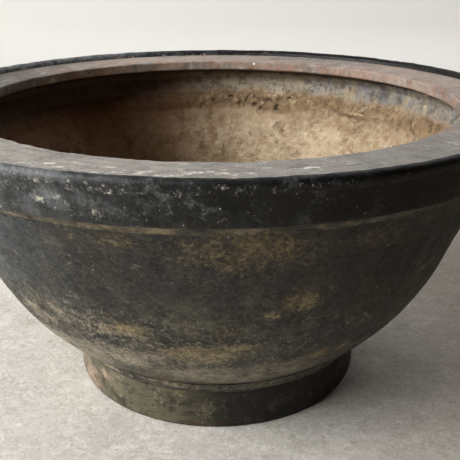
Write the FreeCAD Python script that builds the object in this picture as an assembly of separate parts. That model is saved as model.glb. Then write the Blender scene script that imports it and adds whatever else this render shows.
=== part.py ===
"""Footed earthenware vessel, luted together from separately made clay members.

Every member is a solid of revolution about Z, written to its own STEP file.
Lengths are in millimetres.  The origin is the centre of the circle that the
foot stands on, and +Z points up out of the mouth.  Members that were luted
together meet face to face.
"""
import FreeCAD, Part
import math
import os

from FreeCAD import Vector

# ---- driving dimensions -------------------------------------------------

rim_diameter = 450.0          # over the raised lip, the widest place
total_height = 222.0          # from the resting plane to the crest of the lip
mouth_diameter = 356.0        # clear opening inside the rim flange
foot_diameter = 228.0         # outside the foot ring, where it stands
foot_wall = 16.5
foot_spread = 1.8             # the foot is this much wider, in radius, at its top
foot_edge_round = 3.0

bowl_wall = 12.0
bowl_arc_radius = 173.6       # outside of the bowl, in section
bowl_arc_r = 16.0             # centre of that arc: distance from the axis
bowl_arc_z = 179.0            # centre of that arc: height
flare_angle = 70.5            # slope where the bowl's arc ends and the flare starts
base_thickness = 13.0         # floor of the bowl, inside the foot ring
floor_sweep_rise = 7.0        # the floor curves up this far to meet the wall
floor_sweep_width = 32.0      # and over this much of its radius
floor_sweep_sag = 1.9         # how far the sweep hangs below its chord

lip_height = 4.8              # crest of the lip above the flat of the flange
lip_width = 7.0
lip_crest_inset = 3.4         # crest of the lip, in from its widest place
lip_crest_drop = 3.7          # widest place, below the crest
lip_side_bulge = 0.25         # how far each face of the lip stands off its chord
lip_outer_bulge = 0.9
lip_inner_bulge = 0.8
collar_top_drop = 3.7         # joint of collar and lip, below the flat
flange_edge_thickness = 8.4   # at the mouth
flange_root_thickness = 14.2  # where it lies on the rim wall
flange_edge_round = 1.6

collar_bottom_z = 194.0
collar_bottom_diameter = 438.0
collar_top_diameter = 447.0
collar_edge_round = 2.5
wall_diameter = 425.0         # outside the wall, where the collar hides it
inner_joint_z = 176.0         # height of the scarf joint on the inside
rim_wall_lean = 1.0           # the rim wall's outer face leans out by this much
rim_wall_thickness = 11.5     # at its top, under the flange

joint_coil_height = 15.0      # wall joint coil, over the scarf joint
joint_coil_bulge = 3.0
foot_coil_low = 5.8           # foot coil: reach down the foot's wall
foot_coil_out = 6.5           # foot coil: reach out along the bowl
foot_coil_bulge = 1.4
inner_coil_leg = 8.0          # fillet coil inside the foot: leg length
flange_coil_leg = 6.0         # fillet coil under the flange: leg length
collar_coil_drop = 7.0        # collar coil: reach down the wall
collar_coil_reach = 4.2       # collar coil: reach out under the collar

# ---- derived sizes ------------------------------------------------------

rim_r = rim_diameter / 2
mouth_r = mouth_diameter / 2
foot_r = foot_diameter / 2
foot_inner_r = foot_r - foot_wall
flat_z = total_height - lip_height
flange_root_z = flat_z - flange_root_thickness
flange_edge_z = flat_z - flange_edge_thickness
lip_inner_r = rim_r - lip_width
collar_bottom_r = collar_bottom_diameter / 2
collar_top_r = collar_top_diameter / 2
collar_top_z = flat_z - collar_top_drop
lip_bulge_z = total_height - lip_crest_drop
flare = math.radians(flare_angle)
inner_arc_radius = bowl_arc_radius - bowl_wall


def on_arc(radius, angle):
    """Point of a bowl arc at an angle from straight down."""
    r = bowl_arc_r + radius * math.sin(angle)
    z = bowl_arc_z - radius * math.cos(angle)
    return r, z


def arc_angle_at_r(radius, r):
    """Angle from straight down at which a bowl arc reaches a radius r."""
    return math.asin((r - bowl_arc_r) / radius)


def flare_centre(start, end):
    """Centre and radius of the arc that leaves the bowl smoothly at start.

    The arc curves outwards, so its centre lies outside the vessel.
    """
    normal = (math.sin(flare), -math.cos(flare))
    dr, dz = end[0] - start[0], end[1] - start[1]
    radius = (dr * dr + dz * dz) / (2 * (normal[0] * dr + normal[1] * dz))
    return start[0] + normal[0] * radius, start[1] + normal[1] * radius, radius


def on_flare(z, depth):
    """Point of the flared upper wall at a height, depth inside its outer face."""
    centre_r, centre_z, radius = flare_centre(
        on_arc(bowl_arc_radius, flare), (wall_diameter / 2, collar_bottom_z))
    reach = math.sqrt((radius + depth) ** 2 - (z - centre_z) ** 2)
    return centre_r - reach, z


def edge(p, q):
    """Straight edge between two (r, z) points."""
    return Part.makeLine(Vector(p[0], 0, p[1]), Vector(q[0], 0, q[1]))


def curve(p, mid, q):
    """Circular edge through three (r, z) points."""
    points = [Vector(r, 0, z) for r, z in (p, mid, q)]
    return Part.Arc(*points).toShape()


def bowl_curve(radius, start, end):
    """Edge along a bowl arc between two angles from straight down."""
    middle = (start + end) / 2
    return curve(on_arc(radius, start), on_arc(radius, middle), on_arc(radius, end))


def flare_curve(z_low, z_high, depth):
    """Edge along the flared upper wall between two heights."""
    points = [on_flare(z, depth) for z in (z_low, (z_low + z_high) / 2, z_high)]
    return curve(*points)


def bulged(p, q, bulge):
    """Circular edge from p to q, standing off its chord by bulge."""
    dr, dz = q[0] - p[0], q[1] - p[1]
    length = math.hypot(dr, dz)
    mid = ((p[0] + q[0]) / 2 + bulge * dz / length,
           (p[1] + q[1]) / 2 - bulge * dr / length)
    return curve(p, mid, q)


def turned(edges):
    """Solid of revolution about Z of a closed profile."""
    face = Part.Face(Part.Wire(Part.__sortEdges__(edges)))
    solid = face.revolve(Vector(0, 0, 0), Vector(0, 0, 1), 360)
    if solid.Volume < 0:
        solid.reverse()
    return solid


def corner_round(p, corner, q, radius):
    """Trim two straight legs that meet at a corner and round it.

    Returns the end of the first leg, the middle of the arc and the start of
    the second leg.
    """
    def unit(a, b):
        length = math.hypot(b[0] - a[0], b[1] - a[1])
        return (b[0] - a[0]) / length, (b[1] - a[1]) / length

    u, v = unit(corner, p), unit(corner, q)
    half = math.acos(u[0] * v[0] + u[1] * v[1]) / 2
    back = radius / math.tan(half)
    start = (corner[0] + u[0] * back, corner[1] + u[1] * back)
    end = (corner[0] + v[0] * back, corner[1] + v[1] * back)
    bisector = (u[0] + v[0], u[1] + v[1])
    size = math.hypot(*bisector)
    reach = radius / math.sin(half) - radius
    middle = (corner[0] + bisector[0] / size * reach,
              corner[1] + bisector[1] / size * reach)
    return start, middle, end


# ---- shared places where members meet -----------------------------------

foot_top_angle = arc_angle_at_r(bowl_arc_radius, foot_r + foot_spread)
foot_top = on_arc(bowl_arc_radius, foot_top_angle)
foot_inner_angle = arc_angle_at_r(bowl_arc_radius, foot_inner_r)
foot_inner_top = on_arc(bowl_arc_radius, foot_inner_angle)
base_z = foot_inner_top[1]
floor_z = base_z + base_thickness

joint_outer = on_flare(collar_bottom_z, 0)
joint_inner = on_flare(inner_joint_z, bowl_wall)
wall_top_outer = (joint_outer[0] + rim_wall_lean, flange_root_z)
wall_top_inner = (wall_top_outer[0] - rim_wall_thickness, flange_root_z)


def on_rim_wall(drop):
    """Point of the rim wall's inner face, a drop below its top."""
    part = drop / (wall_top_inner[1] - joint_inner[1])
    r = wall_top_inner[0] + (joint_inner[0] - wall_top_inner[0]) * part
    return r, wall_top_inner[1] - drop


# ---- members ------------------------------------------------------------

def foot_ring():
    """Thick ring that the bowl stands on, slightly wider at its top."""
    outer_corner = (foot_r, 0)
    inner_corner = (foot_inner_r, 0)
    a1, a2, a3 = corner_round(foot_top, outer_corner, inner_corner, foot_edge_round)
    b1, b2, b3 = corner_round(outer_corner, inner_corner, foot_inner_top, foot_edge_round)
    return turned([
        edge(foot_top, a1),
        curve(a1, a2, a3),
        edge(a3, b1),
        curve(b1, b2, b3),
        edge(b3, foot_inner_top),
        bowl_curve(bowl_arc_radius, foot_inner_angle, foot_top_angle),
    ])


def foot_outer_coil():
    """Ridge of soft clay pressed round the joint of foot and bowl."""
    drop = foot_coil_low / foot_top[1]
    low = (foot_top[0] + (foot_r - foot_top[0]) * drop, foot_top[1] - foot_coil_low)
    high_angle = arc_angle_at_r(bowl_arc_radius, foot_top[0] + foot_coil_out)
    high = on_arc(bowl_arc_radius, high_angle)
    return turned([
        edge(foot_top, low),
        bulged(low, high, foot_coil_bulge),
        bowl_curve(bowl_arc_radius, foot_top_angle, high_angle),
    ])


def foot_inner_coil():
    """Fillet coil inside the foot ring, under the floor of the bowl."""
    corner = (foot_inner_r, base_z)
    low = (foot_inner_r, base_z - inner_coil_leg)
    inward = (foot_inner_r - inner_coil_leg, base_z)
    return turned([
        edge(corner, low),
        edge(low, inward),
        edge(inward, corner),
    ])


def bowl_shell():
    """Thrown bowl: thick floor, round lower wall and gently flared upper wall."""
    sweep_top_z = floor_z + floor_sweep_rise
    sweep_angle = math.acos((bowl_arc_z - sweep_top_z) / inner_arc_radius)
    sweep_top = on_arc(inner_arc_radius, sweep_angle)
    floor_edge = (sweep_top[0] - floor_sweep_width, floor_z)
    arc_end_outer = on_arc(bowl_arc_radius, flare)
    arc_end_inner = on_arc(inner_arc_radius, flare)
    return turned([
        edge((0, base_z), foot_inner_top),
        bowl_curve(bowl_arc_radius, foot_inner_angle, flare),
        flare_curve(arc_end_outer[1], collar_bottom_z, 0),
        edge(joint_outer, joint_inner),
        flare_curve(arc_end_inner[1], inner_joint_z, bowl_wall),
        bowl_curve(inner_arc_radius, sweep_angle, flare),
        bulged(floor_edge, sweep_top, floor_sweep_sag),
        edge(floor_edge, (0, floor_z)),
        edge((0, floor_z), (0, base_z)),
    ])


def wall_joint_coil():
    """Coil smeared over the scarf joint on the inside of the wall."""
    low_z = inner_joint_z - joint_coil_height / 2
    low = on_flare(low_z, bowl_wall)
    high = on_rim_wall(flange_root_z - inner_joint_z - joint_coil_height / 2)
    return turned([
        edge(high, joint_inner),
        flare_curve(low_z, inner_joint_z, bowl_wall),
        bulged(high, low, joint_coil_bulge),
    ])


def rim_wall():
    """Upper course of the wall, from the scarf joint up to the flange."""
    return turned([
        edge(joint_inner, joint_outer),
        edge(joint_outer, wall_top_outer),
        edge(wall_top_outer, wall_top_inner),
        edge(wall_top_inner, joint_inner),
    ])


def rim_flange():
    """Flat slab ring on top of the wall, thinner towards the mouth."""
    top_in = (mouth_r, flat_z)
    low_in = (mouth_r, flange_edge_z)
    top_out = (lip_inner_r, flat_z)
    low_out = (lip_inner_r, flange_root_z)
    t1, t2, t3 = corner_round(top_out, top_in, low_in, flange_edge_round)
    u1, u2, u3 = corner_round(top_in, low_in, wall_top_inner, flange_edge_round)
    return turned([
        edge(top_out, t1),
        curve(t1, t2, t3),
        edge(t3, u1),
        curve(u1, u2, u3),
        edge(u3, wall_top_inner),
        edge(wall_top_inner, wall_top_outer),
        edge(wall_top_outer, low_out),
        edge(low_out, top_out),
    ])


def flange_inner_coil():
    """Fillet coil under the flange, in its corner with the rim wall."""
    low = on_rim_wall(flange_coil_leg)
    slope = (flange_edge_z - flange_root_z) / (mouth_r - wall_top_inner[0])
    inward = (wall_top_inner[0] - flange_coil_leg, flange_root_z - slope * flange_coil_leg)
    return turned([
        edge(wall_top_inner, inward),
        edge(inward, low),
        edge(low, wall_top_inner),
    ])


def collar_band():
    """Upright outer band that wraps the rim wall and the flange's edge."""
    low_out = (collar_bottom_r, collar_bottom_z)
    high_out = (collar_top_r, collar_top_z)
    high_in = (lip_inner_r, collar_top_z)
    c1, c2, c3 = corner_round(joint_outer, low_out, high_out, collar_edge_round)
    return turned([
        edge(joint_outer, c1),
        curve(c1, c2, c3),
        edge(c3, high_out),
        edge(high_out, high_in),
        edge(high_in, (lip_inner_r, flange_root_z)),
        edge((lip_inner_r, flange_root_z), wall_top_outer),
        edge(wall_top_outer, joint_outer),
    ])


def collar_coil():
    """Thin coil worked in under the collar, against the bowl."""
    low_z = collar_bottom_z - collar_coil_drop
    low = on_flare(low_z, 0)
    out = (joint_outer[0] + collar_coil_reach, collar_bottom_z)
    return turned([
        flare_curve(low_z, collar_bottom_z, 0),
        edge(low, out),
        edge(out, joint_outer),
    ])


def rim_lip():
    """Rounded coil that stands up along the outer edge of the flange."""
    low_in = (lip_inner_r, collar_top_z)
    low_out = (collar_top_r, collar_top_z)
    groove = (lip_inner_r, flat_z)
    crest = (rim_r - lip_crest_inset, total_height)
    widest = (rim_r, lip_bulge_z)
    return turned([
        edge(low_in, low_out),
        bulged(low_out, widest, lip_side_bulge),
        bulged(widest, crest, lip_outer_bulge),
        bulged(crest, groove, lip_inner_bulge),
        edge(groove, low_in),
    ])


MEMBERS = [
    foot_ring,
    foot_outer_coil,
    foot_inner_coil,
    bowl_shell,
    wall_joint_coil,
    rim_wall,
    rim_flange,
    flange_inner_coil,
    collar_band,
    collar_coil,
    rim_lip,
]


def main():
    os.makedirs("parts", exist_ok=True)
    for member in MEMBERS:
        solid = member()
        solid.exportStep(f"parts/{member.__name__}.step")
        box = solid.optimalBoundingBox()
        print(f"{member.__name__:18s} valid {solid.isValid()} "
              f"volume {solid.Volume / 1000:8.1f} cm3 "
              f"r {box.XMax:6.1f} z {box.ZMin:6.1f} to {box.ZMax:6.1f}")


main()
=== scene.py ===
"""Footed crock of carbon-smoked earthenware, with a dusty flat rim and bare clay inside.

Each clay member is turned on the axis from its CAD section, then made uneven the way
a thrown and luted pot is.  Lengths are metres; sizes named _mm are millimetres.
Azimuths are degrees round the pot: 0 faces the camera, 90 is the +X side.
"""
import math

import bmesh
import bpy
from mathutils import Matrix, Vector, noise
from mathutils.bvhtree import BVHTree


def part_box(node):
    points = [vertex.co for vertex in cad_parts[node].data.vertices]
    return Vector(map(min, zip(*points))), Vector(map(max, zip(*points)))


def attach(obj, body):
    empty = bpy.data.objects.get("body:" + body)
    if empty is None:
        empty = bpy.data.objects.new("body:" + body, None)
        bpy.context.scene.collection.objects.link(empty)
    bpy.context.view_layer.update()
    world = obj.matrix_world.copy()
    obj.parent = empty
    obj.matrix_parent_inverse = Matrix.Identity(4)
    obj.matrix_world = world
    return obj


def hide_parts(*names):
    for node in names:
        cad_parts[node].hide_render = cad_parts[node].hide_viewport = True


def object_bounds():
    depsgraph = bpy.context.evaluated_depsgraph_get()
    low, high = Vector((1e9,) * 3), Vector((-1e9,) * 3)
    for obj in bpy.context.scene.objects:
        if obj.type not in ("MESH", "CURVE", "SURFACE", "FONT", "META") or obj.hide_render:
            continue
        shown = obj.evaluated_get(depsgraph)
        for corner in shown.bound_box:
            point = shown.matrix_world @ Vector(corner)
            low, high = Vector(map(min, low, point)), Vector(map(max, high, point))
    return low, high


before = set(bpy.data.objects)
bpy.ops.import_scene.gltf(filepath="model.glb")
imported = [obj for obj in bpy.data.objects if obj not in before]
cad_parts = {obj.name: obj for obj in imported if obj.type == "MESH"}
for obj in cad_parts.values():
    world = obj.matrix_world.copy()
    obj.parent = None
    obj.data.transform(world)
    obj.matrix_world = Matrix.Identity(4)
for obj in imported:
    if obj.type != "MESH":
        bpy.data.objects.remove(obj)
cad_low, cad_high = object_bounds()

MM = 0.001
WELD = 0.02 * MM
CORNER = math.radians(24)  # a sharper edge than this stays crisp
STRAIGHT = math.radians(0.4)  # a smaller bend than this isn't one

# The whole pot's slump: how far the wall moves out of round and the rim sags
OUT_OF_ROUND = 0.7 * MM
RIM_SAG = 0.6 * MM
ROUND_WAVES, SAG_WAVES = 5.0, 4.5  # to a metre

# The noise in a dent: how it falls off and spreads from one octave to the next
DENT_FALL, DENT_GAP, DENT_OCTAVES = 0.8, 2.1, 3
FLOOR_ZONE = 100 * MM  # below this a face of the bowl that looks up is its floor

RIM_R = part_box("rim_lip")[1].x
CREST_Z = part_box("rim_lip")[1].z
COLLAR_LOW_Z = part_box("collar_band")[0].z
SEAM_LOW, SEAM_HIGH = (corner.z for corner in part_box("wall_joint_coil"))
SEAM_TALL = SEAM_HIGH - SEAM_LOW


# ---- places on the pot --------------------------------------------------

def cad_surface():
    bm = bmesh.new()
    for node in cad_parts.values():
        bm.from_mesh(node.data)
    surface = BVHTree.FromBMesh(bm)
    bm.free()
    return surface


SURFACE = cad_surface()


def outward(degrees):
    turn = math.radians(degrees)
    return Vector((math.sin(turn), -math.cos(turn), 0))


def spot_on(degrees, z_mm, inside=False):
    """Point of the pot's outside, or its inside, at an azimuth and a height."""
    level = Vector((0, 0, z_mm * MM))
    out = outward(degrees)
    if inside:
        return SURFACE.ray_cast(level, out)[0]
    return SURFACE.ray_cast(level + out, -out)[0]


# ---- marks on the pot ---------------------------------------------------

# Single marks: azimuth in degrees, then height, width, tallness and depth in mm.
# A mark with a depth below 0 is a lump.
SEAM_HOLES = ((163.5, 177.5, 8, 5, 3.2), (161.0, 170.5, 3.6, 7, 2.2), (166.0, 168.8, 3, 6, 2.2),
              (170.5, 178.5, 3, 7.5, 2.4), (175.5, 180.0, 7, 3, 2.0), (157.5, 180.0, 6, 3, 1.6),
              (181.0, 176.5, 3, 4.4, 1.8), (184.5, 172.5, 5, 2.6, 1.5), (168.0, 173.0, 6, 3, 1.8))
SEAM_BURRS = ((161.5, 181.0, 7, 4, -2.4), (165.5, 174.0, 5, 5, -2.2), (168.8, 181.0, 3, 7, -2.6),
              (173.5, 176.5, 6, 4, -2.0), (178.5, 180.5, 3, 7, -2.4), (155.5, 176.5, 6, 4, -1.8),
              (182.5, 179.5, 5, 4, -1.6), (159.0, 172.5, 4, 4, -1.6), (151.0, 179.0, 5, 4, -1.2))
BOWL_MARKS = ((-25, 161, 5, 5, 0.8), (-23.5, 158, 3, 3, 0.7), (-10, 104, 9, 3, 0.7),
              (-5.5, 104, 8, 3, 0.7), (-1.5, 105, 13, 3.6, 0.8), (28, 105, 5, 4, 0.6),
              (33, 110, 4, 5, 0.6), (60, 120, 8, 6, 0.6), (-100, 110, 7, 6, 0.7))
FOOT_CRACK = ((-17.5, 44.5, 22, 3.0, 1.2), (-9, 43.0, 26, 2.4, 0.8), (4, 42.5, 30, 2.2, 0.6),
              (-28, 43.5, 20, 2.4, 0.6))
SEAM_LEDGE = ((134, 172, 36, 2.6, -0.9), (126, 173.5, 24, 2.4, -0.6))


def placed(marks_mm, inside=False):
    """Marks with their azimuth and height turned into a point of the pot's surface."""
    return [(spot_on(az, z, inside), wide, tall, depth) for az, z, wide, tall, depth in marks_mm]


# ---- shaping the clay ---------------------------------------------------

def section_of(node):
    """The outline of a CAD node's section on the +X side, as a bmesh of edges."""
    bm = bmesh.new()
    bm.from_mesh(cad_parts[node].data)
    bmesh.ops.remove_doubles(bm, verts=bm.verts, dist=WELD)
    whole = bm.verts[:] + bm.edges[:] + bm.faces[:]
    cut = bmesh.ops.bisect_plane(bm, geom=whole, dist=WELD, plane_co=(0, 0, 0),
                                 plane_no=(0, 1, 0))["geom_cut"]
    outline = {part for part in cut if isinstance(part, bmesh.types.BMEdge)}
    rest = [e for e in bm.edges if e not in outline]
    bmesh.ops.delete(bm, geom=rest, context="EDGES")
    loose = [v for v in bm.verts if not v.link_edges]
    bmesh.ops.delete(bm, geom=loose, context="VERTS")
    bmesh.ops.bisect_plane(bm, geom=bm.verts[:] + bm.edges[:], dist=WELD, plane_co=(0, 0, 0),
                           plane_no=(1, 0, 0), clear_inner=True)
    bmesh.ops.dissolve_limit(bm, angle_limit=STRAIGHT, verts=bm.verts, edges=bm.edges)
    return bm


def turned(node, grain_mm, turns):
    """A closed bmesh turned from a node's section, its faces about grain_mm long."""
    bm = section_of(node)
    by_cuts = {}
    for e in bm.edges:
        by_cuts.setdefault(round(e.calc_length() / (grain_mm * MM)) - 1, []).append(e)
    for cuts, edges in by_cuts.items():
        if cuts > 0:
            bmesh.ops.subdivide_edges(bm, edges=edges, cuts=cuts)
    bmesh.ops.spin(bm, geom=bm.verts[:] + bm.edges[:], cent=(0, 0, 0), axis=(0, 0, 1),
                   angle=math.tau, steps=turns, use_merge=True)
    bmesh.ops.remove_doubles(bm, verts=bm.verts, dist=WELD)
    bmesh.ops.recalc_face_normals(bm, faces=bm.faces)
    sharp = [e for e in bm.edges if e.calc_face_angle(0) > CORNER]
    corners = {v for e in sharp for v in e.verts}
    soft = [v for v in bm.verts if v not in corners]
    for _ in range(4):
        bmesh.ops.smooth_vert(bm, verts=soft, factor=0.5, use_axis_x=True, use_axis_y=True,
                              use_axis_z=True)
    for e in sharp:
        e.smooth = False
    return bm


def lean(p):
    """Where a point of the true round pot lies on the slightly slumped one."""
    reach = Vector((p.x, p.y, 0))
    squeeze = noise.noise(p * ROUND_WAVES + Vector((3, 1, 8))) - 1
    sag = (noise.noise(reach * SAG_WAVES + Vector((7, 2, 5))) - 1) * p.z / CREST_Z
    return p + reach.normalized() * (OUT_OF_ROUND * squeeze) + Vector((0, 0, RIM_SAG * sag))


def dents(p, size_mm, depth_mm, seed, stretch=(1, 1, 1)):
    """Height in mm of soft unevenness about size_mm across."""
    q = Vector(a * b for a, b in zip(p, stretch)) / (size_mm * MM)
    start = Vector((seed, seed * 2, seed * 3))
    return depth_mm * noise.fractal(q + start, DENT_FALL, DENT_GAP, DENT_OCTAVES)


def pits(p, spacing_mm, width_mm, depth_mm, share, seed):
    """Depth in mm of scattered round pits; share of the cells hold one."""
    q = p / (spacing_mm * MM) + Vector((seed, seed * 5, seed * 2))
    distances, points = noise.voronoi(q)
    lot = noise.cell(points[0] * 7.3)  # each cell's own number, from -1 to 1
    if lot > share * 2 - 1:
        return 0.0
    reach = distances[0] * spacing_mm / width_mm
    return -depth_mm * max(0.0, 1 - reach * reach)


def marks(p, places):
    """Height in mm of single marks given as (point, width, tallness, depth), sizes in mm."""
    total = 0.0
    for centre, wide_mm, tall_mm, depth_mm in places:
        away = p - centre
        reach = (math.hypot(away.x, away.y) * 2 / (wide_mm * MM)) ** 2
        reach += (away.z * 2 / (tall_mm * MM)) ** 2
        if reach < 1:
            total -= depth_mm * (1 - reach) ** 1.5
    return total


def facing(p, centre, reach):
    """1 at an azimuth, falling to 0 at reach degrees from it."""
    azimuth = math.degrees(math.atan2(p.x, -p.y))
    away = abs((azimuth - centre + 180) % 360 - 180)
    return max(0.0, 1 - away / reach)


def level(z, low, high):
    """0 at the height low, 1 at the height high, with soft ends."""
    t = min(max((z - low) / (high - low), 0.0), 1.0)
    return t * t * (3 - 2 * t)


def out_of_axis(p):
    return Vector((p.x, p.y, 0)).normalized()


def inward(p, normal):
    """True on a face that looks at the axis or up out of the bowl's floor."""
    return normal.x * p.x + normal.y * p.y < 0 or (normal.z > 0.5 and p.z < FLOOR_ZONE)


def clay_piece(name, node, grain_mm, turns, relief, finishes):
    """Turns a node's member again in uneven clay, and places it.

    relief gives each point's move in mm.  With two finishes, the second is the inside's.
    """
    bm = turned(node, grain_mm, turns)
    bm.normal_update()
    for face in bm.faces:
        face.smooth = True
        if len(finishes) > 1 and inward(face.calc_center_median(), face.normal):
            face.material_index = 1
    moves = [(v, relief(v.co, v.normal)) for v in bm.verts]
    for v, move in moves:
        v.co = lean(v.co + move * MM)
        v.co.z = min(max(v.co.z, cad_low.z), cad_high.z)
    mesh = bpy.data.meshes.new(name)
    bm.to_mesh(mesh)
    bm.free()
    place_piece(name, mesh, node, finishes)


def place_piece(name, mesh, node, finishes):
    piece = bpy.data.objects.new(name, mesh)
    bpy.context.scene.collection.objects.link(piece)
    for finish in finishes:
        mesh.materials.append(finish)
    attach(piece, "root")
    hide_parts(node)


# ---- nodes for the finishes ---------------------------------------------

def srgb(code):
    """Linear colour of an sRGB hex code."""
    parts = [int(code[i:i + 2], 16) / 255 for i in (1, 3, 5)]
    linear = [c / 12.92 if c <= 0.04045 else ((c + 0.055) / 1.055) ** 2.4 for c in parts]
    return (*linear, 1)


def add(tree, kind, inputs=(), **settings):
    """Adds a node, sets it up, and fills its inputs with values or other nodes' outputs."""
    node = tree.nodes.new("ShaderNode" + kind)
    for key, value in settings.items():
        setattr(node, key, value)
    for key, value in dict(inputs).items():
        if isinstance(value, bpy.types.NodeSocket):
            tree.links.new(value, node.inputs[key])
        else:
            node.inputs[key].default_value = value
    return node


def all_of(tree, *masks):
    """Masks and plain strengths multiplied together."""
    total = masks[0]
    for mask in masks[1:]:
        total = add(tree, "Math", {0: total, 1: mask}, operation="MULTIPLY").outputs[0]
    return total


def any_of(tree, *masks):
    """The strongest of several masks."""
    total = masks[0]
    for mask in masks[1:]:
        total = add(tree, "Math", {0: total, 1: mask}, operation="MAXIMUM").outputs[0]
    return total


def painted(tree, base, *coats):
    """Colour built up in coats, each a colour and the masks and strength that thin it.

    The last coat is on top.
    """
    colour = srgb(base) if isinstance(base, str) else base
    for coat, *thinning in coats:
        coat = srgb(coat) if isinstance(coat, str) else coat
        strength = all_of(tree, *thinning)
        colour = add(tree, "Mix", {0: strength, 6: colour, 7: coat}, data_type="RGBA").outputs[2]
    return colour


def rising(tree, axis, low_mm, high_mm, to=(0, 1), spot=None):
    """Mask that rises along X, Y, Z or R, where R is the reach from the pot's axis."""
    spot = spot or add(tree, "TexCoord").outputs["Object"]
    if axis == "R":
        flat = add(tree, "VectorMath", {0: spot, 1: (1, 1, 0)}, operation="MULTIPLY").outputs[0]
        along = add(tree, "VectorMath", {0: flat}, operation="LENGTH").outputs["Value"]
    else:
        along = add(tree, "SeparateXYZ", {0: spot}).outputs[axis]
    ends = {0: along, 1: low_mm * MM, 2: high_mm * MM, 3: to[0], 4: to[1]}
    return add(tree, "MapRange", ends, interpolation_type="SMOOTHSTEP").outputs[0]


def band(tree, axis, low_mm, high_mm, soft_mm, spot=None):
    """Mask between two places along an axis, fading out over soft_mm."""
    return all_of(tree, rising(tree, axis, low_mm - soft_mm, low_mm, spot=spot),
                  rising(tree, axis, high_mm + soft_mm, high_mm, spot=spot))


def grain(tree, size_mm, seed=0, stretch=(1, 1, 1), detail=6, rough=0.7):
    """Noise whose blotches are about size_mm across, mostly from 0.35 to 0.65."""
    spot = add(tree, "TexCoord").outputs["Object"]
    spot = add(tree, "Mapping", {"Vector": spot, "Scale": stretch,
                                 "Location": (seed * 0.37, seed * 0.61, seed * 0.83)}).outputs[0]
    return add(tree, "TexNoise", {"Vector": spot, "Scale": 1000 / size_mm, "Detail": detail,
                                  "Roughness": rough}).outputs[0]


def cloud(tree, size_mm, low=0.42, high=0.58, seed=0, stretch=(1, 1, 1), detail=6, rough=0.7):
    """Mask of blotches about size_mm across, from none at low to full at high."""
    ends = {0: grain(tree, size_mm, seed, stretch, detail, rough), 1: low, 2: high}
    return add(tree, "MapRange", ends, interpolation_type="SMOOTHSTEP").outputs[0]


def grit(tree, low, high, seed):
    """Mask of ragged grit, from 16 mm patches down to specks under a millimetre.

    Most real grit is finer than that, too fine to show, so the patches stand for it.
    """
    return cloud(tree, 16, low, high, seed, detail=8, rough=0.9)


def sown(tree, mask, size_mm, seed, thin=0.62, dense=0.47):
    """Grit up to size_mm across: packed where the mask is 1, hardly any where it's 0."""
    soft_edge = 0.05
    start = add(tree, "MapRange", {0: mask, 3: thin, 4: dense}).outputs[0]
    specks = grain(tree, size_mm, seed, detail=8, rough=0.9)
    full = add(tree, "Math", {0: start, 1: soft_edge}, operation="ADD").outputs[0]
    return add(tree, "MapRange", {0: specks, 1: start, 2: full}).outputs[0]


def flecks(tree, spacing_mm, width_mm, share, seed=0):
    """Mask of small ragged dots of several sizes; share of the cells hold one.

    They are the size of the largest real specks, because finer ones don't show.
    """
    spot = add(tree, "TexCoord").outputs["Object"]
    moved = {"Vector": spot, "Location": (seed * 0.37, seed * 0.61, 0)}
    spot = add(tree, "Mapping", moved).outputs[0]
    wobble = add(tree, "TexNoise", {"Vector": spot, "Scale": 1400 / width_mm, "Detail": 1})
    push = {0: wobble.outputs["Color"], 1: (width_mm * MM,) * 3, 2: spot}
    spot = add(tree, "VectorMath", push, operation="MULTIPLY_ADD").outputs[0]
    cells = add(tree, "TexVoronoi", {"Vector": spot, "Scale": 1000 / spacing_mm})
    pick = add(tree, "SeparateColor", {0: cells.outputs["Color"]}).outputs
    reach = width_mm / spacing_mm / 2
    dot = add(tree, "MapRange", {0: cells.outputs["Distance"], 1: reach, 2: reach * 0.4})
    chosen = add(tree, "Math", {0: pick[0], 1: share}, operation="LESS_THAN")
    size = add(tree, "MapRange", {0: pick[1], 3: 0.3})
    return all_of(tree, dot.outputs[0], chosen.outputs[0], size.outputs[0])


def ragged(tree, size_mm, reach_mm, seed):
    """Object coordinates pushed about, so that a stain placed on them has a ragged edge."""
    gain = 4  # the noise seldom leaves its middle by more than 0.15
    spot = add(tree, "TexCoord").outputs["Object"]
    moved = add(tree, "Mapping", {"Vector": spot, "Location": (seed * 0.37, seed * 0.61, 0)})
    push = add(tree, "TexNoise", {"Vector": moved.outputs[0], "Scale": 1000 / size_mm,
                                  "Detail": 6, "Roughness": 0.75}).outputs["Color"]
    push = add(tree, "VectorMath", {0: push, 1: (0.5,) * 3}, operation="SUBTRACT").outputs[0]
    reach = {0: push, 1: (reach_mm * gain * MM,) * 3, 2: spot}
    return add(tree, "VectorMath", reach, operation="MULTIPLY_ADD").outputs[0]


def stains(tree, spot, *places, inside=False, heart=0.2):
    """Mask of stains given as (azimuth, height, width, tallness, strength), sizes in mm."""
    masks = []
    for degrees, z_mm, wide_mm, tall_mm, strength in places:
        middle = spot_on(degrees, z_mm, inside)
        size = (2000 / wide_mm, 2000 / wide_mm, 2000 / tall_mm)
        away = add(tree, "VectorMath", {0: spot, 1: middle}, operation="SUBTRACT").outputs[0]
        away = add(tree, "VectorMath", {0: away, 1: size}, operation="MULTIPLY").outputs[0]
        far = add(tree, "VectorMath", {0: away}, operation="LENGTH").outputs["Value"]
        ends = {0: far, 1: 1.0, 2: heart, 4: strength}
        masks.append(add(tree, "MapRange", ends, interpolation_type="SMOOTHSTEP").outputs[0])
    return any_of(tree, *masks)


def clay(name, ior):
    """A new ceramic material: its tree and its Principled shader.

    Fired clay's IOR is about 1.5.  Soot and dust dull it, so the finishes take less.
    """
    material = bpy.data.materials.new(name)
    material.use_nodes = True
    tree = material.node_tree
    tree.nodes.clear()
    shader = add(tree, "BsdfPrincipled", {"IOR": ior, "Metallic": 0.0})
    out = add(tree, "OutputMaterial")
    tree.links.new(shader.outputs[0], out.inputs["Surface"])
    return material, tree, shader


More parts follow.
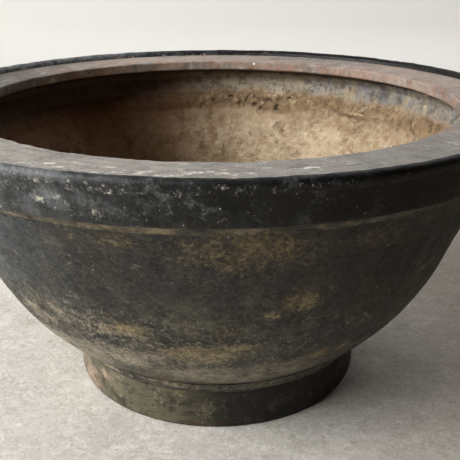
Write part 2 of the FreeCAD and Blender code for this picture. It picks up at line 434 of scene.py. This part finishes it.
def finish_clay(tree, shader, colour, rough, *layers):
    """Gives a clay its colour, its roughness and bump layers of (height mask, depth in mm).

    The roughness goes between its two values in blotches about 10 mm across.
    """
    tree.links.new(colour, shader.inputs["Base Color"])
    ends = {0: grain(tree, 10, 99), 1: 0.35, 2: 0.65, 3: rough[0], 4: rough[1]}
    tree.links.new(add(tree, "MapRange", ends).outputs[0], shader.inputs["Roughness"])
    normal = None
    for height, depth_mm in layers:
        inputs = {"Height": height, "Distance": depth_mm * MM, "Strength": 1.0}
        if normal is not None:
            inputs["Normal"] = normal
        normal = add(tree, "Bump", inputs).outputs[0]
    tree.links.new(normal, shader.inputs["Normal"])


# ---- finishes -----------------------------------------------------------

def smoked_outside():
    """Carbon-smoked earthenware, thrown and wiped: charcoal, with ochre where smoke missed.

    Fired clay is matt, and a little satin where it was wiped, so its highlights are
    broad and dull.  It grows darker towards +X, and its pale dust is stronger towards -X,
    which is painted light from the window's side.
    """
    material, tree, shader = clay("smoked_earthenware_outside", 1.42)
    soft = ragged(tree, 24, 8, 1)
    torn = ragged(tree, 10, 4, 2)
    wide, tall = (1, 1, 9), (1, 1, 0.4)
    # This mask grows towards +X, away from the window.
    dark_coat_plus_x = rising(tree, "X", -20, 130)
    # Painted light: this mask makes the pale dust coats strongest towards -X, where the window
    # falls.
    painted_light_side = rising(tree, "X", 130, -60, (0.25, 1))
    low_down = rising(tree, "Z", 135, 100, (0.2, 1))
    high = rising(tree, "Z", 118, 165)

    dusty = stains(tree, soft, (6, 63, 150, 38, 1), (-38, 70, 90, 44, 1), (-24, 80, 70, 34, 0.8),
                   (50, 62, 60, 30, 0.35), (130, 66, 160, 36, 1), (-130, 66, 160, 36, 1),
                   heart=0.4)
    tan = stains(tree, soft, (-42, 100, 50, 44, 1), (-35, 112, 34, 20, 0.9),
                 (-62, 95, 40, 50, 0.8), (-22, 109, 90, 26, 0.9), (-8, 86, 120, 38, 1),
                 (14, 74, 70, 26, 0.6), (46, 96, 34, 30, 0.6), (120, 90, 70, 40, 0.9),
                 (-150, 120, 80, 30, 0.8), (170, 80, 60, 30, 0.9))
    stipple = stains(tree, soft, (6, 174, 170, 56, 0.95), (26, 176, 60, 34, 0.85),
                     (37, 183, 50, 22, 0.75), (-15, 181, 44, 26, 0.85), (1, 113, 60, 20, 0.6),
                     (20, 143, 34, 18, 0.6), (28, 144, 30, 14, 0.5), (29, 171, 24, 14, 0.8),
                     (100, 170, 120, 40, 0.7), (-110, 165, 130, 40, 0.7),
                     (178, 172, 140, 36, 0.8), (-8, 43, 90, 9, 0.6))
    ochre = stains(tree, torn, (15, 133, 40, 28, 1), (10, 125, 24, 14, 0.8), (-3, 92, 76, 30, 1),
                   (4, 99, 50, 14, 0.8), (-18, 110, 56, 20, 0.8), (27, 79, 66, 22, 1),
                   (-16, 57, 46, 16, 0.7), (90, 110, 50, 24, 0.9), (140, 140, 40, 22, 0.8),
                   (-130, 90, 60, 26, 1), (-90, 130, 36, 20, 0.8), (-170, 140, 46, 20, 0.7))
    scraped = stains(tree, soft, (31, 109, 50, 34, 0.9), (20, 128, 30, 18, 0.7),
                     (44, 138, 40, 24, 0.7), (17, 121, 24, 12, 0.5), (-32, 118, 60, 26, 0.6),
                     (-44, 150, 34, 40, 0.4), (-130, 140, 50, 30, 0.6), (120, 120, 60, 30, 0.6))
    # Dark cracks, and painted shade in the two chips near azimuth -25.
    cracks_and_chip_shade = stains(tree, torn, (-10, 104, 8, 3, 0.8), (-5.5, 104, 6, 3, 0.9),
                    (-1.5, 105, 10, 3.6, 0.9), (-15, 108, 7, 3, 0.7), (-25, 161, 4, 5, 0.9),
                    (-23.5, 158, 3, 3, 0.9), heart=0.5)
    # White drips, and painted glints on the two chips near azimuth -25.
    drips_and_chip_glints = stains(tree, torn, (-38, 141, 3, 3.6, 0.8), (1.6, 186, 5, 3.2, 1),
                   (-24.5, 163, 2, 2, 1), (-25.6, 157, 2, 2.4, 1), heart=0.3)
    sooted = stains(tree, soft, (30, 150, 80, 44, 1), (-6, 146, 100, 26, 0.8),
                    (24, 100, 46, 34, 0.9), (30, 50, 70, 20, 1), (-12, 128, 70, 20, 0.7))
    coil = all_of(tree, band(tree, "Z", 188.4, 193.0, 2.4), cloud(tree, 30, 0.36, 0.56, 10),
                  rising(tree, "X", 150, 20, (0.25, 1)))
    ridge = all_of(tree, band(tree, "Z", 38, 42, 3), cloud(tree, 24, 0.4, 0.58, 11),
                   rising(tree, "X", 60, -40, (0.1, 1)))
    speckle = any_of(tree, flecks(tree, 9, 1.5, 0.3, 14), flecks(tree, 5, 0.9, 0.25, 15), drips_and_chip_glints)

    colour = painted(
        tree, "#35342F",
        ("#1D1F22", high, 0.9),
        ("#46525B", rising(tree, "X", -60, -150), rising(tree, "Z", 100, 135), 0.65),
        ("#66604F", cloud(tree, 34, 0.46, 0.62, 3), rising(tree, "Z", 150, 120, (0.3, 1)), 0.6),
        ("#3E3729", cloud(tree, 22, 0.46, 0.6, 4, tall), high, 0.4),
        ("#1B1B1A", cloud(tree, 40, 0.52, 0.62, 6), 0.5),
        ("#1F2020", sooted, 0.6),
        # Pale dust, thinned towards +X: painted light on the window's side.
        ("#8A8170", dusty, painted_light_side, 0.9),
        ("#B5AB96", dusty, cloud(tree, 16, 0.38, 0.6, 5, wide), painted_light_side, 0.95),
        ("#857564", sown(tree, tan, 26, 7), 0.7),
        ("#A89C88", sown(tree, tan, 12, 19), painted_light_side, 0.7),
        ("#4E4330", stipple, 0.3),
        ("#6E5E40", sown(tree, stipple, 22, 8), 0.45),
        ("#A8946A", sown(tree, stipple, 3.4, 20, 0.61, 0.49), 0.6),
        ("#7A6843", ochre, 0.35),
        ("#97855C", sown(tree, ochre, 16, 9, 0.62, 0.44), 0.8),
        ("#C3B28A", sown(tree, ochre, 3.4, 28, 0.61, 0.49), 0.6),
        ("#7F5E34", stains(tree, torn, (-17, 53, 18, 7, 0.9), (-12, 58, 26, 6, 0.6)), 0.9),
        ("#8D8068", coil, 0.7),
        ("#AB9B78", sown(tree, coil, 8, 12), 0.7),
        ("#8B8169", ridge, 0.75),
        ("#B0A07C", sown(tree, ridge, 8, 21), 0.6),
        # A dark coat that grows towards +X.
        ("#151514", dark_coat_plus_x, 0.35),
        ("#0F0F0E", cloud(tree, 9, 0.5, 0.64, 22, tall), 0.45),
        ("#0C0C0B", grit(tree, 0.50, 0.60, 23), 0.75),
        # Pale dust low on the bowl, thinned towards +X: painted light on the window's side.
        ("#A59D8C", grit(tree, 0.54, 0.62, 24), painted_light_side, low_down, 0.75),
        ("#080807", cloud(tree, 3, 0.5, 0.6, 29, rough=0.85), 0.65),
        ("#B4AC9B", cloud(tree, 3, 0.53, 0.61, 30, rough=0.85), painted_light_side, low_down, 0.6),
        ("#A8A498", sown(tree, scraped, 14, 13, 0.63, 0.51), 0.6),
        ("#12110F", cracks_and_chip_shade, 0.9),
        ("#B9B5A9", speckle, 0.8))
    finish_clay(tree, shader, colour, (0.46, 0.68),
                (grain(tree, 46, 18, (1, 1, 20), 3), 0.35),
                (grain(tree, 4, 25), 1.0),
                (sown(tree, any_of(tree, stipple, ochre), 12, 8), 0.15),
                (speckle, 0.12),
                (cracks_and_chip_shade, -0.6))
    return material


def smoked_foot():
    """Foot ring, thrown and smoked like the bowl: rubbed to tan on one side, much darker towards
    +X.

    It was handled and dragged about, so it is drier and more matt than the bowl.
    """
    material, tree, shader = clay("smoked_earthenware_foot", 1.42)
    torn = ragged(tree, 14, 5, 31)
    rubbed = stains(tree, torn, (-60, 10, 50, 40, 1), (-72, 22, 40, 34, 0.9),
                    (-46, 22, 30, 16, 0.6), (110, 12, 60, 20, 0.7), (-150, 14, 50, 22, 0.7))
    ochre = stains(tree, torn, (-15, 31, 28, 9, 1), (-25, 33, 20, 7, 0.7), (-6, 33, 18, 6, 0.7),
                   (5, 33, 24, 6, 0.5), (60, 26, 20, 8, 0.6))
    burnt = stains(tree, torn, (4, 3, 40, 10, 1), (-8, 3, 24, 7, 0.6), (150, 4, 40, 8, 0.8))
    speckle = any_of(tree, flecks(tree, 7, 1.3, 0.3, 32), flecks(tree, 4, 0.8, 0.25, 33),
                     stains(tree, torn, (-24, 12, 4, 3, 1)))
    # Much darker towards +X, the side away from the window.
    darker_towards_plus_x = rising(tree, "X", -55, 15)
    colour = painted(
        tree, "#5C5846",
        ("#6B6350", cloud(tree, 24, 0.46, 0.6, 34), 0.7),
        ("#2B2922", cloud(tree, 14, 0.49, 0.62, 35, (1, 1, 2.5)), 0.65),
        ("#93806F", rubbed, 0.75),
        ("#B29C86", sown(tree, rubbed, 14, 36), 0.6),
        ("#8B7648", sown(tree, ochre, 10, 37), 0.85),
        ("#75502D", burnt, 0.75),
        ("#0C0B0A", darker_towards_plus_x, 0.92),
        ("#0F0E0C", grit(tree, 0.5, 0.6, 38), 0.7),
        ("#8F8772", grit(tree, 0.54, 0.62, 39), rising(tree, "X", 20, -40, (0.2, 0.65))),
        ("#9A967F", speckle, rising(tree, "X", 60, -40, (0.35, 0.8))),
        # Painted shade: near black in the lowest 2.4 mm, where the foot meets the floor.
        ("#0C0B09", rising(tree, "Z", 2.4, 0.8), 0.85))
    finish_clay(tree, shader, colour, (0.55, 0.75),
                (grain(tree, 34, 40, (1, 1, 12), 3), 0.35),
                (grain(tree, 4, 41), 0.6),
                (speckle, 0.12))
    return material


def burnished_collar():
    """Smoked clay burnished with a stone: blue-black and satin, splashed with lime specks.

    Rubbing closes its skin, so it is the smoothest part, with the clearest sheen.
    """
    material, tree, shader = clay("burnished_smoked_collar", 1.32)
    torn = ragged(tree, 6, 2.2, 51)
    # Greyer towards -X: grey dust, and a painted sheen of the window on that side.
    dust_and_sheen_side = rising(tree, "X", 10, -110)
    splash = stains(tree, torn, (-17, 203, 64, 26, 0.9), (-24, 205, 20, 15, 1),
                    (-1, 201, 30, 18, 0.6), (-33, 204, 50, 22, 0.6), (4, 208, 70, 12, 0.4),
                    (130, 204, 60, 14, 0.6), (-140, 206, 50, 14, 0.6))
    dabs = stains(tree, torn, (-23.4, 204.5, 8, 5, 1), (-20.6, 207, 6, 5, 0.7),
                  (5.5, 203.5, 3, 3.4, 0.8), heart=0.1)
    smudge = all_of(tree, cloud(tree, 2.2, 0.38, 0.56, 63), dabs)
    # Lime specks, denser along the top of the lip and towards -X, where they are also painted
    # glints of the window.
    edge = all_of(tree, band(tree, "Z", 213, 217.5, 2.5), rising(tree, "X", 150, -40, (0.45, 1)))
    speckle = any_of(tree, flecks(tree, 6, 1.3, 0.35, 52), flecks(tree, 3.5, 0.9, 0.4, 53))
    lime_and_glints = any_of(tree, sown(tree, splash, 5, 54, 0.655, 0.53), smudge,
                   sown(tree, edge, 6, 55, 0.66, 0.545),
                   all_of(tree, speckle, rising(tree, "X", 110, -60, (0.3, 1))))
    colour = painted(
        tree, "#121213",
        ("#1F2022", cloud(tree, 30, 0.44, 0.6, 56), 0.7),
        # Grey dust and painted sheen of the window, strongest towards -X.
        ("#4C4F52", dust_and_sheen_side, 0.45),
        ("#64676A", dust_and_sheen_side, cloud(tree, 10, 0.46, 0.6, 57), 0.5),
        ("#3D392F", rising(tree, "Z", 201.5, 195.5), cloud(tree, 18, 0.44, 0.6, 58), 0.6),
        ("#6B6C6C", sown(tree, splash, 14, 59, 0.62, 0.49), dust_and_sheen_side, 0.4),
        ("#050505", grit(tree, 0.49, 0.58, 60), 0.7),
        ("#050505", rising(tree, "X", -30, 120), 0.85),
        ("#85888A", grit(tree, 0.53, 0.62, 61), rising(tree, "X", 100, -90, (0.05, 0.6))),
        # Painted highlight: a pale grey band along the lip's crest towards -X, for the window's
        # sheen on it.
        ("#8C9094", rising(tree, "Z", 214.5, 219), rising(tree, "X", -30, -150),
         cloud(tree, 9, 0.36, 0.56, 64), 0.6),
        ("#D8D4C8", lime_and_glints, 0.9))
    finish_clay(tree, shader, colour, (0.24, 0.46), (grain(tree, 3, 62), 0.7), (lime_and_glints, 0.15))
    return material


def dusty_rim():
    """Smoked rim worn grey by use, with fine turning scratches and dabs of lime.

    Wear leaves it between matt and satin.  The scratches are drawn about 1.6 mm apart,
    coarser than real ones, so that they show.
    """
    rings_a_metre, drift_a_metre = 620, 22
    material, tree, shader = clay("worn_smoked_rim", 1.45)
    spot = add(tree, "TexCoord").outputs["Object"]
    flat = add(tree, "VectorMath", {0: spot, 1: (1, 1, 0)}, operation="MULTIPLY").outputs[0]
    reach = add(tree, "VectorMath", {0: flat}, operation="LENGTH").outputs["Value"]
    turns = add(tree, "Math", {0: reach, 1: rings_a_metre}, operation="MULTIPLY").outputs[0]
    rings = {0: flat, 1: (drift_a_metre,) * 3, 2: add(tree, "CombineXYZ", {2: turns}).outputs[0]}
    rings = add(tree, "VectorMath", rings, operation="MULTIPLY_ADD")
    scratch = add(tree, "TexNoise", {"Vector": rings.outputs[0], "Scale": 1.0, "Detail": 5,
                                     "Roughness": 0.7}).outputs[0]
    worn = add(tree, "MapRange", {0: scratch, 1: 0.5, 2: 0.66}).outputs[0]
    pale = add(tree, "MapRange", {0: scratch, 1: 0.48, 2: 0.34}).outputs[0]
    near = rising(tree, "Y", -105, -170)
    far = rising(tree, "Y", 10, 130)
    dabs = all_of(tree, cloud(tree, 4, 0.57, 0.62, 71, (0.4, 1, 1)), band(tree, "R", 194, 204, 7),
                  band(tree, "X", -95, 45, 40), near)
    dots = all_of(tree, flecks(tree, 6, 1.5, 0.35, 72), near)
    chip = stains(tree, spot, (168, 214, 3, 2.6, 1), inside=True, heart=0.6)
    colour = painted(
        tree, "#8E8882",
        ("#A09B96", cloud(tree, 26, 0.42, 0.58, 73), 0.7),
        ("#67625D", cloud(tree, 12, 0.5, 0.62, 74), 0.45),
        ("#5C5751", worn, 0.5),
        ("#B7B2AC", pale, 0.5),
        ("#625D59", rising(tree, "X", -60, 130), 0.6),
        ("#B09A8E", rising(tree, "X", 100, 190), rising(tree, "Y", -40, 60), 0.6),
        ("#A38E82", far, cloud(tree, 30, 0.36, 0.56, 75), 0.75),
        ("#94705F", any_of(tree, far, rising(tree, "X", 90, 170)), rising(tree, "R", 197, 181),
         cloud(tree, 13, 0.44, 0.6, 76), 0.7),
        # Painted shadow that the lip casts on the far left of the flat.
        ("#1F1C1A", rising(tree, "X", -70, -190), rising(tree, "Y", -10, 60), 0.75),
        ("#3F3A36", grit(tree, 0.5, 0.6, 77), 0.5),
        # Painted shade in the gutter between the flat and the lip.
        ("#2B2926", rising(tree, "R", 213.5, 217.5), 0.85),
        ("#E4E1DA", dabs, 0.85),
        ("#C9C5BC", dots, 0.7),
        ("#C4C0BA", grit(tree, 0.54, 0.62, 79), 0.5),
        ("#EDE9E2", chip, 1.0),
        # Painted shade on the flange's lower inner edge and underside, under its overhang.
        ("#2A2420", rising(tree, "Z", 209.5, 206.5), 0.9))
    finish_clay(tree, shader, colour, (0.42, 0.66), (scratch, 0.2), (grain(tree, 3, 78), 0.5))
    return material


def bare_inside():
    """Inside: grey smoked clay under the rim, a coarse brown seam, and bare tan clay below.

    It was wiped while wet, so it has long soft wrinkles, and it is quite matt.
    """
    material, tree, shader = clay("bare_earthenware_inside", 1.42)
    soft = ragged(tree, 30, 6, 81)
    torn = ragged(tree, 7, 3, 82)
    runny = (1, 1, 0.35)
    pale_side = rising(tree, "X", -30, 110)
    above = rising(tree, "Z", 181, 189, spot=soft)
    holes = stains(tree, torn, *[(*hole[:4], 1) for hole in SEAM_HOLES], inside=True, heart=0.5)
    burrs = stains(tree, torn, *[(*burr[:4], 1) for burr in SEAM_BURRS], inside=True, heart=0.3)
    # Dark stains in the seam; the first, under the ledge, is a painted shadow.
    burnt = stains(tree, soft, (137, 170, 50, 8, 0.8), (160, 168, 30, 8, 0.6),
                   (196, 172, 90, 14, 0.7), (172, 171, 30, 8, 0.7), (220, 176, 80, 22, 0.7),
                   inside=True)
    smear = stains(tree, soft, (163, 184, 70, 7, 0.9), (203, 185, 90, 7, 0.6),
                   (120, 182, 60, 9, 0.5), (175, 193, 50, 16, 0.4), inside=True)
    ledge_highlight = stains(tree, torn, (134, 173, 30, 1.6, 0.9), (127, 174.5, 20, 1.4, 0.7), inside=True)
    tan = painted(
        tree, "#A8957C",
        ("#C2AF93", cloud(tree, 24, 0.42, 0.6, 83), 0.7),
        ("#876A4B", cloud(tree, 13, 0.48, 0.62, 84), 0.65),
        ("#D3C2A6", cloud(tree, 7, 0.5, 0.64, 85, (1, 1, 1.6)), 0.55),
        ("#7F6549", rising(tree, "Z", 146, 168, spot=soft), 0.5))
    brown = painted(
        tree, "#80694F",
        ("#98815F", cloud(tree, 12, 0.46, 0.6, 86), 0.7),
        ("#4E3925", cloud(tree, 7, 0.48, 0.6, 87), 0.75))
    grey = painted(
        tree, "#9C9182",
        ("#AFA698", cloud(tree, 17, 0.44, 0.6, 88), 0.6),
        ("#625E59", rising(tree, "X", 60, 150), 0.6),
        ("#74777E", rising(tree, "X", 40, 130), cloud(tree, 14, 0.42, 0.58, 89, runny), 0.7),
        ("#423B34", cloud(tree, 9, 0.48, 0.6, 90), 0.65),
        ("#A8977C", cloud(tree, 10, 0.49, 0.6, 91, runny), rising(tree, "X", 30, 100), 0.6))
    colour = painted(
        tree, tan,
        (brown, band(tree, "Z", 172, 181, 6, soft), 0.9),
        (grey, above, 1.0),
        # Dark stains along the seam; the one at 137 degrees, under the ledge, is a painted
        # shadow.
        ("#3C2A1A", burnt, 0.75),
        ("#B7A283", smear, cloud(tree, 6, 0.4, 0.56, 92), 0.7),
        ("#C2AE8D", burrs, 0.7),
        # Painted shade: the seam's holes are painted near black.
        ("#1A110A", holes, 0.8),
        # Painted highlight along the top of the ledge in the seam.
        ("#CDBA98", ledge_highlight, 0.8),
        ("#4A3522", flecks(tree, 6, 1.4, 0.3, 93), 0.6),
        ("#3B2A1A", grit(tree, 0.5, 0.6, 94), 0.5),
        ("#D8C8AE", grit(tree, 0.54, 0.64, 95), pale_side, 0.5),
        # Painted shade: these two coats darken the inside towards -X, which faces away from the
        # window, in the brown of light bounced off the clay.
        ("#4E2B0E", rising(tree, "X", 35, -75), 0.75),
        ("#30231E", rising(tree, "X", 0, -90), rising(tree, "Z", 168, 190, spot=soft), 0.7),
        # Painted shade: darker at the top of the wall, under the flange's overhang.
        ("#231C16", rising(tree, "Z", 201, 203.5), 0.6))
    finish_clay(tree, shader, colour, (0.75, 0.9),
                (grain(tree, 15, 96, (1, 1, 2.0), 5, 0.55), 1.5),
                (grain(tree, 3.5, 97), 1.0),
                (holes, -1.0))
    return material


# ---- the pieces ---------------------------------------------------------

# Most reliefs take off a fraction of a millimetre, which keeps their bumps in the true solid.

def inner_skin(p):
    """Height in mm of the inside: wrinkles round the bowl, much flatter near the rim."""
    strength = 1 - 0.6 * level(p.z, SEAM_LOW - 12 * MM, SEAM_LOW + 2 * MM)
    return strength * (dents(p, 17, 0.55, 5, (1, 1, 2.0)) + dents(p, 45, 0.8, 6))


def outer_skin(p):
    """Height in mm of the outside: faint throwing rings about 6 mm apart, and soft dents."""
    ring_mm, rings_a_metre, drift_a_metre = 0.16, 170, 5
    drift = Vector((p.x * drift_a_metre, p.y * drift_a_metre, p.z * rings_a_metre))
    ring = ring_mm * noise.noise(drift)
    return ring + dents(p, 30, 0.22, 7, (1, 1, 1.5)) - 0.15


def make_bowl(outside, inside):
    scars = placed(BOWL_MARKS) + placed(FOOT_CRACK)

    def relief(p, normal):
        if inward(p, normal):
            return normal * inner_skin(p)
        return normal * (outer_skin(p) + pits(p, 26, 2.6, 0.5, 0.1, 3) + marks(p, scars))

    clay_piece("bowl", "bowl_shell", 3.0, 480, relief, [outside, inside])


def make_foot(finish):
    def relief(p, normal):
        side = max(0.0, 1 - abs(normal.z) * 1.5)
        return normal * (side * (dents(p, 20, 0.35, 8) + dents(p, 60, 0.5, 9, (1, 1, 4)) - 0.3))

    clay_piece("foot", "foot_ring", 2.0, 360, relief, [finish])


def make_foot_coil(outside):
    scars = placed(FOOT_CRACK)

    def relief(p, normal):
        lumps = outer_skin(p) + dents(p, 9, 0.3, 31) + dents(p, 40, 0.5, 32)
        return normal * (lumps + marks(p, scars))

    clay_piece("foot_coil", "foot_outer_coil", 1.5, 480, relief, [outside])


def make_foot_coil_inside(outside):
    def relief(p, normal):
        return normal * (dents(p, 6, 0.4, 33) + dents(p, 28, 0.4, 34) - 0.3)

    clay_piece("foot_coil_inside", "foot_inner_coil", 2.0, 300, relief, [outside])


def make_collar_coil(outside):
    def relief(p, normal):
        worn = dents(p, 12, 0.45, 37) + dents(p, 40, 0.4, 38) - 0.35
        bare = 1 - level(p.z, COLLAR_LOW_Z - MM, COLLAR_LOW_Z)
        return normal * (outer_skin(p) + worn * bare)

    clay_piece("collar_seam_coil", "collar_coil", 1.2, 640, relief, [outside])


def make_seam(inside):
    torn = placed(SEAM_HOLES + SEAM_BURRS, inside=True)
    ledge = placed(SEAM_LEDGE, inside=True)

    def relief(p, normal):
        up = (p.z - SEAM_LOW) / SEAM_TALL
        swell = max(0.0, math.sin(math.pi * min(max(up, 0.0), 1.0)))
        torn_up = facing(p, 168, 34)
        lump = dents(p, 9, 0.5, 11) + dents(p, 3.5, 0.2, 12)
        burrs = dents(p, 4.5, 0.9, 13, (1, 1, 0.45)) * min(1.0, torn_up * 1.6)
        move = inner_skin(p) + swell * (lump * (0.5 + torn_up) + burrs - 1.0)
        return -out_of_axis(p) * (move + marks(p, torn) + marks(p, ledge))

    clay_piece("seam", "wall_joint_coil", 1.2, 900, relief, [inside])


def make_rim_wall(inside):
    def relief(p, normal):
        if inward(p, normal):
            return -out_of_axis(p) * (inner_skin(p) + dents(p, 10, 0.25, 14))
        return Vector()

    clay_piece("rim_wall_course", "rim_wall", 2.0, 480, relief, [inside])


def make_flange(finish):
    worn_width = 6 * MM
    mouth_r = min(math.hypot(v.co.x, v.co.y)
                  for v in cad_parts["rim_flange"].data.vertices)

    def relief(p, normal):
        r = math.hypot(p.x, p.y)
        edge = max(0.0, 1 - (r - mouth_r) / worn_width)
        worn = edge * (dents(p, 16, 0.55, 15) + dents(p, 5, 0.25, 16) - 0.2)
        top = max(0.0, normal.z) * (dents(p, 22, 0.18, 17) - 0.1)
        return normal * (worn + top)

    clay_piece("flange", "rim_flange", 1.5, 640, relief, [finish])


def make_flange_coil(inside):
    def relief(p, normal):
        return normal * (dents(p, 6, 0.3, 35) + dents(p, 28, 0.3, 36) - 0.3)

    clay_piece("flange_coil", "flange_inner_coil", 2.0, 420, relief, [inside])


def rim_skin(p):
    """Height in mm that the collar and the lip share, so that their joint doesn't show."""
    return dents(p, 16, 0.22, 18, (1, 1, 1.5)) + dents(p, 60, 0.3, 19) - 0.3


def make_collar(finish):
    worn_width = 4 * MM

    def relief(p, normal):
        low = max(0.0, 1 - abs(p.z - COLLAR_LOW_Z) / worn_width)
        edge = low * (dents(p, 9, 0.35, 20) + pits(p, 9, 2.4, 1.0, 0.25, 21))
        side = 1.0 if normal.x * p.x + normal.y * p.y > 0 else 0.0
        return out_of_axis(p) * (side * rim_skin(p)) + normal * edge

    clay_piece("collar", "collar_band", 1.6, 720, relief, [finish])


def make_lip(finish):
    joint_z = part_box("collar_band")[1].z
    blend_tall = 3 * MM
    core_r = RIM_R - 3.6 * MM  # the middle of the lip's coil

    def relief(p, normal):
        out = out_of_axis(p)
        away = (p - out * core_r - Vector((0, 0, joint_z))).normalized()
        rise = level(p.z, joint_z, joint_z + blend_tall)
        way = out.lerp(away, rise).normalized()
        rough = rise * (dents(p, 8, 0.2, 22) + pits(p, 11, 2.2, 0.6, 0.2, 23))
        return way * (rim_skin(p) + rough)

    clay_piece("lip", "rim_lip", 0.9, 720, relief, [finish])


def make_pot():
    collar = burnished_collar()
    inside = bare_inside()
    outside = smoked_outside()
    make_bowl(outside, inside)
    make_foot(smoked_foot())
    make_foot_coil(outside)
    make_foot_coil_inside(outside)
    make_seam(inside)
    make_rim_wall(inside)
    make_flange(dusty_rim())
    make_flange_coil(inside)
    make_collar(collar)
    make_collar_coil(outside)
    make_lip(collar)


# ---- stage --------------------------------------------------------------

def make_stage():
    """Floor of pale trowelled plaster, matt and speckled, swept up into a plain wall."""
    bm = bmesh.new()
    front, back, side, height, sweep = -2.5, 1.55, 4.0, 3.0, 0.12
    a = bm.verts.new((-side, front, 0))
    b = bm.verts.new((-side, back, 0))
    c = bm.verts.new((-side, back, height))
    bm.edges.new((a, b))
    bm.edges.new((b, c))
    bmesh.ops.bevel(bm, geom=[b], offset=sweep, segments=12, profile=0.5, affect="VERTICES",
                    material=-1)
    made = bmesh.ops.extrude_edge_only(bm, edges=bm.edges[:])["geom"]
    moved = [v for v in made if isinstance(v, bmesh.types.BMVert)]
    bmesh.ops.translate(bm, verts=moved, vec=(side * 2, 0, 0))
    bmesh.ops.recalc_face_normals(bm, faces=bm.faces)
    for face in bm.faces:
        face.smooth = True
    mesh = bpy.data.meshes.new("floor")
    bm.to_mesh(mesh)
    bm.free()
    floor = bpy.data.objects.new("floor", mesh)
    bpy.context.scene.collection.objects.link(floor)
    material, tree, shader = clay("pale_plaster_floor", 1.45)
    colour = painted(
        tree, "#C3BFB9",
        ("#D2CEC8", cloud(tree, 60, 0.42, 0.58, 101), 0.6),
        ("#9C968B", cloud(tree, 20, 0.5, 0.62, 102, detail=8, rough=0.88), 0.5),
        ("#EDEAE5", cloud(tree, 20, 0.5, 0.62, 103, detail=8, rough=0.88), 0.5),
        ("#8F897D", cloud(tree, 3, 0.5, 0.62, 106, rough=0.85), 0.45),
        ("#F2F0EC", cloud(tree, 3, 0.52, 0.62, 107, rough=0.85), 0.45),
        ("#7A7264", flecks(tree, 13, 2.0, 0.3, 104), 0.6),
        # Painted shade: a warm dark coat on the floor towards +X, where the pot's shadow falls.
        ("#6E5435", rising(tree, "X", 20, 400), rising(tree, "Y", 500, -300, (0.5, 1)), 0.85),
        ("#DFDEDB", rising(tree, "Y", 250, 700), 1.0))
    finish_clay(tree, shader, colour, (0.85, 0.95), (grain(tree, 8, 105), 0.5))
    mesh.materials.append(material)


def area_light(name, place_at, aim, size, watts, colour):
    data = bpy.data.lights.new(name, "AREA")
    data.shape = "RECTANGLE"
    data.size, data.size_y = size
    data.energy = watts
    data.color = srgb(colour)[:3]
    lamp = bpy.data.objects.new(name, data)
    bpy.context.scene.collection.objects.link(lamp)
    lamp.location = place_at
    lamp.rotation_euler = (Vector(aim) - Vector(place_at)).to_track_quat("-Z", "Y").to_euler()


def make_lights():
    """One wide soft window low on the left, a wash on the wall, and dim warm air."""
    middle = Vector((0, 0, 0.1))
    azimuth, rise, far = -68, math.radians(30), 2.0
    up = Vector((0, 0, far * math.sin(rise)))
    window = middle + outward(azimuth) * (far * math.cos(rise)) + up
    area_light("window", window, middle, size=(1.6, 0.8), watts=72, colour="#FFFEFA")
    area_light("wall_wash", (0.9, 0.9, 1.9), (0.9, 1.55, 0.6), size=(1.8, 0.5), watts=20,
               colour="#FFFFFF")
    bright, dim = 0.07, 0.035
    world = bpy.data.worlds.new("room")
    world.use_nodes = True
    tree = world.node_tree
    background = tree.nodes["Background"]
    background.inputs[0].default_value = srgb("#F6E6D0")
    way = add(tree, "SeparateXYZ", {0: add(tree, "TexCoord").outputs["Generated"]}).outputs[0]
    strength = add(tree, "MapRange", {0: way, 1: -1.0, 2: 1.0, 3: bright, 4: dim}).outputs[0]
    tree.links.new(strength, background.inputs[1])
    bpy.context.scene.world = world


def make_camera():
    """Looks down into the mouth from the front, a little over half a metre away."""
    data = bpy.data.cameras.new("camera")
    data.sensor_width = 36
    data.lens = 56.4
    back, up = 2.409 * RIM_R, 1.430 * RIM_R
    tilt, turn = 21.54, -1.09
    camera = bpy.data.objects.new("camera", data)
    bpy.context.scene.collection.objects.link(camera)
    camera.location = (0, -back, up)
    camera.rotation_euler = (math.radians(90 - tilt), 0, math.radians(turn))
    bpy.context.scene.camera = camera


make_camera()
make_pot()
make_stage()
make_lights()
bpy.context.scene.view_settings.view_transform = "Standard"
